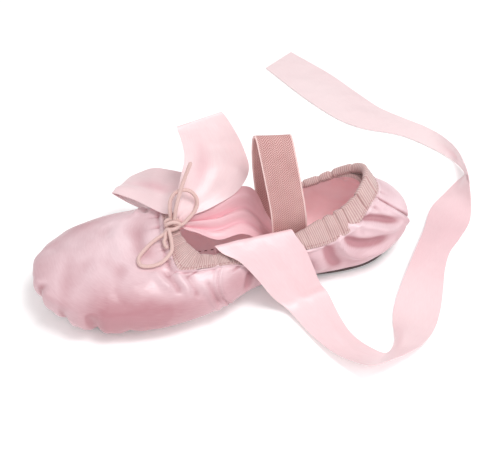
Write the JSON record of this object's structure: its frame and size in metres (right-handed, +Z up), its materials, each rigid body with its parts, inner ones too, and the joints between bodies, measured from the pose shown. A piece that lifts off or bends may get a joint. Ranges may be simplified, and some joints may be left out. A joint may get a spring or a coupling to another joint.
{
  "type": "soft ballet slipper",
  "caption": "Child's soft satin ballet slipper with a gathered toe, ribbed collar binding, suede sole, elastic strap, tied drawstring and long ribbon ties.",
  "frame": {"origin": "middle of the heel seat on the sole's underside, on the floor", "axes": "+X to the toe, +Y to the shoe's left side, +Z up"},
  "size_m": [0.2567, 0.2912, 0.0863],
  "materials": {
    "satin": "satin weave, soft sheen",
    "binding_tape": "ribbed cotton tape",
    "suede": "split suede",
    "lining": "plain cotton drill",
    "elastic": "herringbone elastic",
    "ribbon": "single-faced satin ribbon",
    "cord": "braided cotton cord"
  },
  "bodies": {
    "root": {"upper": "satin", "collar_binding": "binding_tape", "outsole": "suede", "insole": "lining", "elastic_strap": "elastic", "ribbon_near": "ribbon", "ribbon_far": "ribbon", "drawstring_knot": "cord", "drawstring_loop_near": "cord", "drawstring_loop_far": "cord", "drawstring_end_long": "cord", "drawstring_end_short": "cord"}
  },
  "joints": []
}
